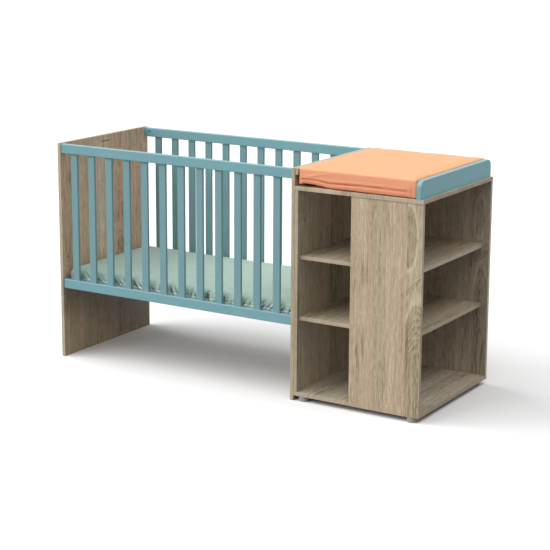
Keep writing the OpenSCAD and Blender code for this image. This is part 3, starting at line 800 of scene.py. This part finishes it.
class Rim:
    """For each point of a block: how far along its rim it lies, and which way is outward there."""

    def __init__(self, points, low, high, corner):
        low, high = np.array(low), np.array(high)
        flat = points[:, :2] - (low + high)[:2] / 2
        half = (high - low)[:2] / 2 - corner
        core = np.clip(flat, -half, half)
        away = flat - core
        room = half + corner - np.abs(flat)
        self.inset = room.min(axis=1)
        nearest = np.where(room[:, :1] < room[:, 1:], [[1, 0]], [[0, 1]])
        nearest = nearest * np.where(flat < 0, -1, 1)
        size = np.linalg.norm(away, axis=1, keepdims=True)
        self.outward = np.where(size > 1e-6, away / np.maximum(size, TINY), nearest)
        turn = np.arctan2(self.outward[:, 1], self.outward[:, 0]) + FULL_TURN / 4
        turn = turn % FULL_TURN
        turn[turn > FULL_TURN - 1e-6] = 0
        quarter = np.floor(turn / (FULL_TURN / 4) + 1e-6).astype(int)
        length, width = 2 * half
        straight = [
            core[:, 0] + half[0],
            length + core[:, 1] + half[1],
            length + width + half[0] - core[:, 0],
            2 * length + width + half[1] - core[:, 1],
        ]
        self.along = corner * turn + np.choose(quarter, straight)
        self.length = 2 * length + 2 * width + FULL_TURN * corner


# -------------------------------------------- soft goods: the mattress and its sheet

TICKING_INSET = (0.0125, 0.0140, 0.0015)
TICKING_TOP_GAP = 0.0085
TICKING_RADIUS = 0.018
TICKING_CELL = (0.0095, 0.0095, 0.005)
TICKING_PUFF = 0.0040
SHEET_CORNER = 0.04
SHEET_GAP = 0.0016
SHEET_THICK = 0.0009
SHEET_TUCK = 0.075
SHEET_TUCK_HEIGHT = 0.012
TOP_RIPPLE = 0.0011
SKIRT_SLACK = 0.0056
CORNER_SLACK = 0.0080
UNDER_SAG = 0.0004
UNDER_GATHER = 0.0003
# how far the sheet stays inside the mattress's box
SHEET_ROOM = 0.0004
SHEET_ROOM_BELOW = 0.0001
# the hem: its height, how far that waves, how broad and deep its seam is, and how its elastic gathers
HEM_HEIGHT = 0.0205
HEM_WAVE = 0.0022
SEAM_BREADTH = 0.0022
SEAM_DEPTH = 0.0012
GATHER_PITCH = 0.011
GATHER_DEPTH = 0.0005
# the creases that the elastic pulls: how many, how far each strays from its even place, how wide, deep
# and tall they are, how much rarer the deep ones are, how softly each ends, the ridges beside it, as their
# places in its widths and their heights, and the furthest that all of them together move the cloth
CREASE_COUNT = 190
CREASE_STRAY = 0.45
CREASE_WIDTHS = (0.0036, 0.0090)
CREASE_DEEPEST = 0.0105
CREASE_DEPTHS = (0.35, 1.0)
CREASE_RARITY = 1.4
CREASE_TOPS = (0.55, 1.05)
CREASE_FADE = 0.45
CREASE_RIDGES = ((1.6, 0.75), (-1.9, 0.5))
CREASE_REACH = 0.0062
# how far the creases lean: those of the front at its left end, and how much less at its right end, those
# of the other sides at most, how far each strays from that, and the height that it leans from
FRONT_LEAN = 1.8
FRONT_LEAN_LESS = 3.2
OTHER_LEAN = 1.5
LEAN_STRAY = 0.5
LEAN_HEIGHT = 0.02


def mattress_ticking():
    """The mattress under its sheet."""
    low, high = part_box("mattress")
    inset = np.array(TICKING_INSET)
    start = np.array(low) + inset
    end = np.array(high) - [inset[0], inset[1], TICKING_TOP_GAP]
    points, faces = rounded_block(start, end, TICKING_RADIUS, np.array(TICKING_CELL))
    piece = new_piece("mattress_ticking", points, faces)
    puff(piece, TICKING_PUFF)
    subdivide(piece)
    points = points_of(piece)
    points[:, 2] = np.maximum(points[:, 2], start[2])
    move_points(piece, points)
    return piece


def sheet_creases(rim, points, low, high):
    """How far each point of the sheet's skirt moves outward: slanting creases that the elastic pulls."""
    draw = np.random.RandomState(12)
    height = (points[:, 2] - low[2]) / (high[2] - low[2])
    front = high[0] - low[0]
    moved = np.zeros(len(points))
    for number in range(CREASE_COUNT):
        spot = rim.length * (number + draw.uniform(-CREASE_STRAY, CREASE_STRAY)) / CREASE_COUNT
        if spot < front:
            lean = FRONT_LEAN - FRONT_LEAN_LESS * (spot / front)
        else:
            lean = draw.uniform(-OTHER_LEAN, OTHER_LEAN)
        lean += draw.uniform(-LEAN_STRAY, LEAN_STRAY)
        width = draw.uniform(*CREASE_WIDTHS)
        deep = draw.uniform(*CREASE_DEPTHS) ** CREASE_RARITY * CREASE_DEEPEST
        top = draw.uniform(*CREASE_TOPS)
        off = (rim.along - spot + rim.length / 2) % rim.length - rim.length / 2
        off = (off + lean * (points[:, 2] - low[2] - LEAN_HEIGHT)) / width
        fade = ease(height, top, top - CREASE_FADE)
        ridges = sum(share * hump(off - beside) for beside, share in CREASE_RIDGES)
        moved += deep * fade * (ridges - hump(off))
    return np.tanh(moved / CREASE_REACH) * CREASE_REACH


def covered_faces(ticking, points, rim, above):
    """The faces that the sheet covers: all but the middle of the underside, past its tuck."""
    kept = []
    for face in faces_of(ticking):
        tucked = rim.inset[face].mean() > SHEET_TUCK
        if not tucked or points[face].mean(axis=0)[2] > above:
            kept.append(face)
    return kept


def fitted_sheet(ticking):
    """The sheet over the mattress: smooth on top, creased round the skirt and tucked under."""
    low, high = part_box("mattress")
    points, normals = points_of(ticking), normals_of(ticking)
    rim = Rim(points, low, high, SHEET_CORNER)
    side = np.linalg.norm(normals[:, :2], axis=1)
    height = (points[:, 2] - low[2]) / (high[2] - low[2])
    under = ease(normals[:, 2], -0.5, -0.9)
    slack = ease(height, 0.9, 0.3)
    creases = sheet_creases(rim, points, low, high)

    # the skirt: its slack, the creases, the hem's seam, the gathers below it and the corners
    round_the_rim = np.column_stack([rim.along, np.zeros((len(points), 2))])
    hem = low[2] + HEM_HEIGHT + HEM_WAVE * ripple(round_the_rim, 4, 0.09)
    hem += creases * 0.7
    seam = hump((points[:, 2] - hem) / SEAM_BREADTH)
    outward = SKIRT_SLACK * slack + creases * (1 - 0.35 * (points[:, 2] < hem)) - SEAM_DEPTH * seam
    gathers = np.sin(rim.along * FULL_TURN / GATHER_PITCH + 2 * ripple(points, 8, 0.06))
    outward += GATHER_DEPTH * gathers * ease(points[:, 2], hem, hem - 0.006)
    diagonal = 2 * np.abs(rim.outward[:, 0] * rim.outward[:, 1])
    outward += CORNER_SLACK * diagonal * ease(height, 1.05, 0.8)

    # the cloth lies on the mattress, and stays inside the mattress's box
    moved = points + normals * SHEET_GAP
    moved[:, :2] += rim.outward * (outward * side)[:, None]
    moved[:, 2] += normals[:, 2] * TOP_RIPPLE * ripple(points, 5, 0.16) * (normals[:, 2] > 0)
    moved[:, 2] -= under * (UNDER_SAG + UNDER_GATHER * gathers)
    low_limit = np.array(low) + [SHEET_ROOM, SHEET_ROOM, SHEET_ROOM_BELOW]
    moved = np.clip(moved, low_limit, np.array(high) - SHEET_ROOM)

    kept = covered_faces(ticking, points, rim, low[2] + SHEET_TUCK_HEIGHT)
    used = sorted({point for face in kept for point in face})
    number = {point: i for i, point in enumerate(used)}
    piece = new_piece("fitted_sheet", moved[used], [[number[p] for p in face] for face in kept])
    # painted shade in the creases, deeper where a crease is deeper
    fold = np.maximum(-creases, 0) / CREASE_REACH * 2.5 * side * slack
    in_hem = ease(points[:, 2], hem + 0.0005, hem - 0.0015) * (1 - under)
    in_hem = in_hem * (1 - 0.6 * np.minimum(fold, 1))
    mark(piece, "fold", fold[used])
    mark(piece, "hem", in_hem[used])
    solid = piece.modifiers.new("thickness", "SOLIDIFY")
    solid.thickness = SHEET_THICK
    solid.offset = -1
    return piece


# -------------------------------------------- soft goods: the changing mat

MAT_INSET = (0.0003, 0.0010, 0.0)
MAT_TOP_GAP = -0.0030
MAT_RADIUS = 0.0070
MAT_CELL = (0.008, 0.008, 0.005)
MAT_PUFF = 0.0055
MAT_CORNER = 0.03
MAT_CROWN_ROOM = 0.009
MAT_HEM_INSET = 0.055
MAT_HEM_DEPTH = 0.0022
MAT_GATHER_PITCH = 0.013
MAT_GATHER_DEPTH = 0.0007
MAT_LOOSE = 0.0016
MAT_TOP_RIPPLE = 0.0009

# along the front from its left end, in metres: the height and depth of its crease, the height of the
# fold above that and how far it stands out, and how far the hem lifts
CREASE_LINE = ([0.014, 0.060, 0.102, 0.147, 0.205, 0.266, 0.371, 0.466, 0.520],
               [0.0250, 0.0270, 0.0250, 0.0215, 0.0240, 0.0255, 0.0260, 0.0250, 0.0245])
CREASE_DEPTH = ([0.008, 0.020, 0.090, 0.160, 0.260, 0.400, 0.480, 0.515],
                [0.0, 0.0030, 0.0022, 0.0034, 0.0036, 0.0030, 0.0020, 0.0])
RIDGE_LINE = ([0.014, 0.073, 0.168], [0.0310, 0.0490, 0.0690])
RIDGE_HEIGHT = ([0.010, 0.030, 0.100, 0.185], [0.0, 0.0022, 0.0013, 0.0])
HEM_LIFT = ([0.0, 0.012, 0.021, 0.076, 0.140, 0.230, 0.500, 0.530],
            [0.006, 0.007, 0.0125, 0.0105, 0.0022, 0.0015, 0.0010, 0.0])
# how broad the crease and the fold are, and the swells above and below the crease
CREASE_BREADTH = 0.0040
RIDGE_BREADTH = 0.0052
SWELL_BREADTH = 0.006
SWELLS = ((0.0095, 0.55), (-0.009, 0.35))
# small upright folds beside the guard board: where each is, how deep and how wide
END_FOLDS = [(0.489, 0.0008, 0.0050), (0.511, 0.0017, 0.0034), (0.521, 0.0012, 0.0026)]
# how deep the crease and these folds are where their painted shade is darkest, and how dark the painted
# shade in the other hollows is
DARKEST_CREASE = 0.004
DARKEST_FOLD = 0.003
HOLLOW_SHADE = 160


def mat_block(low, high):
    """The mat blown up in its cover, before its folds: the piece, and the points that it is to have."""
    start = low + MAT_INSET
    end = high - [MAT_INSET[0], MAT_INSET[1], MAT_TOP_GAP]
    points, faces = rounded_block(start, end, MAT_RADIUS, np.array(MAT_CELL))
    piece = new_piece("changing_mat_cover", points, faces)
    puff(piece, MAT_PUFF)
    subdivide(piece)
    points = points_of(piece)
    points[:, :2] = fill_box(points[:, :2], start[:2], end[:2])
    points[:, 2] = np.maximum(points[:, 2], low[2])
    return piece, points


def front_folds(points, x, z):
    """The crease along the mat's front, and how far its cloth and the slanting fold move outward."""
    line = np.interp(x, *CREASE_LINE)
    deep = np.interp(x, *CREASE_DEPTH) * (1 + 0.35 * ripple(points, 3, 0.07))
    crease = deep * hump((z - line) / CREASE_BREADTH)
    swell = deep * sum(share * hump((z - line - above) / SWELL_BREADTH) for above, share in SWELLS)
    ridge = np.interp(x, *RIDGE_HEIGHT) * hump((z - np.interp(x, *RIDGE_LINE)) / RIDGE_BREADTH)
    return crease, swell + ridge - crease


def changing_mat():
    """The foam mat in its elasticated cover."""
    low, high = (np.array(corner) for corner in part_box("changing_mat"))
    piece, points = mat_block(low, high)
    normals = normals_of(piece)
    rim = Rim(points, low, high, MAT_CORNER)
    x, depth, z = (points - low).T
    height = z / (high[2] - low[2])
    side = np.linalg.norm(normals[:, :2], axis=1)
    front = ease(-normals[:, 1], 0.35, 0.8)
    below = normals[:, 2] < -0.7

    # the front's folds, those beside the guard board, the other sides' slack, and the elastic's gathers
    crease, moved = front_folds(points, x, z)
    outward = front * moved
    folds = sum(sunk * hump((x - at) / wide) for at, sunk, wide in END_FOLDS)
    folds = folds * ease(height, 0.85, 0.25) * front
    other = side * (1 - front)
    loose = MAT_LOOSE * ripple(points * (1, 1, 2.2), 9, 0.085) * ease(height, 0.95, 0.4)
    gathers = np.sin(rim.along * FULL_TURN / MAT_GATHER_PITCH + 2 * ripple(points, 2, 0.07))
    gathered = MAT_GATHER_DEPTH * gathers * side * ease(z, 0.012, 0.004) * (1 - front * 0.7)
    outward += other * loose - folds - gathered
    points[:, :2] += rim.outward * outward[:, None]

    # a gentle crown, the hem lifted at the front left corner, and the hem round the underside
    points[:, 2] += MAT_TOP_RIPPLE * ripple(points, 7, 0.2) * (normals[:, 2] > 0.3)
    lift = np.interp(x, *HEM_LIFT) * ease(depth, 0.075, 0.012)
    points[:, 2] += lift * (1 - height) ** 2
    hem = hump((rim.inset - MAT_HEM_INSET) / 0.004) + 0.3 * gathers * (rim.inset < MAT_HEM_INSET)
    core = (rim.inset > MAT_HEM_INSET) * MAT_HEM_DEPTH
    points[:, 2] += below * (core + 0.0012 - 0.0009 * np.clip(hem, 0, 1))
    low_limit = low + [0.0003, 0.0, 0.0001]
    high_limit = high + [-0.0003, 0.0, MAT_CROWN_ROOM]
    move_points(piece, np.clip(points, low_limit, high_limit))
    # painted shade in the crease, the folds and the hollows
    fold = crease / DARKEST_CREASE * front + folds / DARKEST_FOLD
    mark(piece, "fold", fold + other * np.maximum(-loose, 0) * HOLLOW_SHADE)
    mark(piece, "hem", below * (rim.inset > MAT_HEM_INSET + 0.002))
    return piece


# -------------------------------------------- soft goods: the cloths

MINT = (0.435, 0.625, 0.535)
MINT_CREASE_SHADE = (0.11, 0.18, 0.15)
MINT_GREY = (0.47, 0.575, 0.545)
MINT_HEM = (0.90, 1.0, 0.98)
# painted shade: the sheet is darker towards its left end: by how much, and between where along the crib
SHEET_LEFT_SHADE = 0.17
SHEET_LEFT_SHADE_SPAN = (0.05, 0.80)
JERSEY_PITCH = 0.0021
# the peach's top and sides are lit and shaded copies of one colour, with painted shade low on the sides
# and in creases
PEACH_TOP = (0.79, 0.405, 0.194)
PEACH_SIDE = (0.95, 0.405, 0.230)
PEACH_LOW_SHADE = (0.86, 0.340, 0.185)
PEACH_CREASE_SHADE = (0.60, 0.19, 0.10)
PEACH_LOW_SHADE_SPAN = (0.005, 0.07)
PILE_SCALE = 900
VINYL_WHITE = (0.80, 0.79, 0.76)
TICKING_WHITE = (0.76, 0.75, 0.70)
TICKING_SEAM = (0.62, 0.61, 0.57)
TICKING_PITCH = 0.0018
QUILT_PITCH = 0.09


def knit(finish, pitch):
    """A fine knit: rows and columns of stitches that read the same on every face."""
    x, y, z = (way.sine() for way in finish.split(finish.place() * (FULL_TURN / pitch)))
    return (x * y + y * z + z * x) * 0.5


def sheet_jersey():
    """Mint jersey: fine stitches, soft cloudy wear, painted shade in the creases and towards the left end.
    """
    finish = Finish("mint_jersey", IOR=1.4, Sheen_Weight=0.25, Sheen_Roughness=0.5)
    patches = finish.noise(finish.place() * (22, 12, 12))
    cloud = finish.noise(finish.place(), scale=30, detail=3)
    slub = finish.noise(finish.place() * (60, 260, 160), detail=2)
    stitch = knit(finish, JERSEY_PITCH)
    colour = finish.mix(finish.step(patches, -0.3, 0.4) * 0.6, MINT, MINT_GREY)
    # painted shade in the creases
    colour = finish.mix(finish.attribute("fold") * 0.95, colour, MINT_CREASE_SHADE)
    colour = finish.mix(finish.attribute("hem"), colour, MINT_HEM)
    along = finish.split(finish.place())[0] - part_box("mattress")[0][0]
    # painted shade towards the left end
    left_shade = finish.step(along, *SHEET_LEFT_SHADE_SPAN) * SHEET_LEFT_SHADE - SHEET_LEFT_SHADE
    finish.set("Base Color", colour * (1.03 + left_shade + cloud * 0.12 + slub * 0.10 + stitch * 0.04))
    finish.set("Roughness", 0.85 + cloud * 0.05)
    finish.bump(stitch * 0.5 + slub * 0.6, 0.0006, 0.5)
    return finish


def mat_cover():
    """Peach terry: a dense short pile, painted light and shade on its top and sides, painted shade in its
    creases, and a white vinyl underside.
    """
    finish = Finish("peach_terry", IOR=1.4, Sheen_Weight=0.2, Sheen_Roughness=0.4)
    up = finish.split(finish.normal())[2]
    pile = finish.noise(finish.place(), scale=PILE_SCALE, detail=3, roughness=0.65)
    cloud = finish.noise(finish.place(), scale=22, detail=2)
    rise = finish.split(finish.place())[2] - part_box("changing_mat")[0][2]
    # painted light and shade: top and sides are lit and shaded copies of one peach, darker low on the
    # sides
    side = finish.mix(finish.step(rise, *PEACH_LOW_SHADE_SPAN), PEACH_LOW_SHADE, PEACH_SIDE)
    colour = finish.mix(finish.step(up, 0.25, 0.8), side, PEACH_TOP)
    # painted shade in the creases and hollows
    colour = finish.mix(finish.attribute("fold") * 0.7, colour, PEACH_CREASE_SHADE)
    colour = finish.mix(finish.attribute("hem"), colour, VINYL_WHITE)
    finish.set("Base Color", colour * (1 + cloud * 0.02 + pile * 0.06))
    finish.set("Roughness", 0.85 + pile * 0.06)
    finish.bump(pile, 0.0005, 0.5)
    return finish


def ticking_cloth():
    """Off-white ticking, quilted in lozenges."""
    finish = Finish("ticking", IOR=1.4)
    x, y = finish.split(finish.place() * (FULL_TURN / QUILT_PITCH))[:2]
    quilt = abs((x + y).sine()) ** 0.5 * abs((x - y).sine()) ** 0.5
    stitch = knit(finish, TICKING_PITCH)
    finish.set("Base Color", finish.mix(quilt, TICKING_SEAM, TICKING_WHITE) * (1 + stitch * 0.05))
    finish.set("Roughness", 0.8 + stitch * 0.05)
    finish.bump(quilt * 6 + stitch * 0.4, 0.0006, 0.7)
    return finish


def dress(piece, finish, body, node):
    """Finish, slot, body and the CAD node that the piece stands for."""
    piece.data.materials.clear()
    piece.data.materials.append(finish.material)
    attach(piece, body)
    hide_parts(node)


ticking = mattress_ticking()
sheet = fitted_sheet(ticking)
mat = changing_mat()
dress(ticking, ticking_cloth(), "mattress", "mattress")
dress(sheet, sheet_jersey(), "mattress", "mattress")
dress(mat, mat_cover(), "changing_mat", "changing_mat")


# -------------------------------------------- the studio: floor, lamps and camera

FLOOR_HALF = 30.0
FLOOR_PALE = (0.95, 0.95, 0.95)
FLOOR_BOUNCE = (0.17, 0.17, 0.18)
SKY_WHITE = (1, 1, 1)
SKY_LEVEL = 0.30
# a lamp's name, the way to it, its strength and how broad it is, in degrees
LAMPS = [
    ("key_left_front", (-0.60, -0.60, 0.50), 1.30, 60),
    ("left_high", (-0.80, -0.10, 0.60), 1.60, 60),
    ("front_high", (0.0, -0.70, 0.70), 0.90, 60),
    ("right_overhead", (0.42, -0.05, 1.0), 0.78, 40),
    ("rear_fill", (0.25, 0.75, 0.65), 0.25, 60),
]
# the photograph's point of view: focal length in millimetres, upward shift, place, and turns in radians
CAMERA_LENS = 103.554
CAMERA_SHIFT = -0.0636
CAMERA_AT = (3.586408, -5.773863, 2.050577)
CAMERA_YAW = 0.55197
CAMERA_PITCH = 0.21161
CAMERA_ROLL = 0.00500


def seen_directly(nodes):
    """1 for what the camera, a gloss or a glass sees, and 0 for what lights the object."""
    rays = ("Is Camera Ray", "Is Glossy Ray", "Is Transmission Ray")
    camera, gloss, glass = (nodes.node("LightPath", out=ray) for ray in rays)
    return camera.at_least(gloss).at_least(glass)


def pale_floor():
    """A plain pale floor, which keeps the object's shadow."""
    corners = [(x * FLOOR_HALF, y * FLOOR_HALF, 0) for x, y in ((-1, -1), (1, -1), (1, 1), (-1, 1))]
    floor = new_piece("studio_floor", corners, [[0, 1, 2, 3]])
    finish = Finish("studio_floor", Roughness=1.0, Specular_IOR_Level=0.0)
    finish.set("Base Color", finish.mix(seen_directly(finish), FLOOR_BOUNCE, FLOOR_PALE))
    floor.data.materials.append(finish.material)


def pale_sky():
    """An even light from all round, white where it is seen."""
    world = bpy.data.worlds.new("studio")
    world.use_nodes = True
    sky = Nodes(world.node_tree)
    level = sky.node("MapRange", None, {"Value": seen_directly(sky), "To Min": SKY_LEVEL})
    background = sky.node("Background", None, {"Color": SKY_WHITE, "Strength": level})
    sky.node("OutputWorld", None, {"Surface": background})
    bpy.context.scene.world = world


def soft_lamp(name, way, strength, breadth):
    """One broad soft lamp that lights the whole scene from one way."""
    lamp = bpy.data.lights.new(name, "SUN")
    lamp.energy = strength
    lamp.angle = math.radians(breadth)
    holder = bpy.data.objects.new(name, lamp)
    x, y, z = way
    holder.rotation_euler = (math.atan2(math.hypot(x, y), z), 0, math.atan2(y, x) + math.pi / 2)
    bpy.context.scene.collection.objects.link(holder)


def view_camera():
    """The photograph's point of view."""
    camera = bpy.data.objects.new("camera", bpy.data.cameras.new("camera"))
    camera.data.lens = CAMERA_LENS
    camera.data.shift_y = CAMERA_SHIFT
    turn = Matrix.Rotation(CAMERA_YAW, 4, "Z") @ Matrix.Rotation(math.pi / 2 - CAMERA_PITCH, 4, "X")
    turn = turn @ Matrix.Rotation(CAMERA_ROLL, 4, "Z")
    camera.matrix_world = Matrix.Translation(CAMERA_AT) @ turn
    bpy.context.scene.collection.objects.link(camera)
    bpy.context.scene.camera = camera


pale_floor()
pale_sky()
for lamp_row in LAMPS:
    soft_lamp(*lamp_row)
view_camera()
bpy.context.scene.view_settings.view_transform = "Standard"
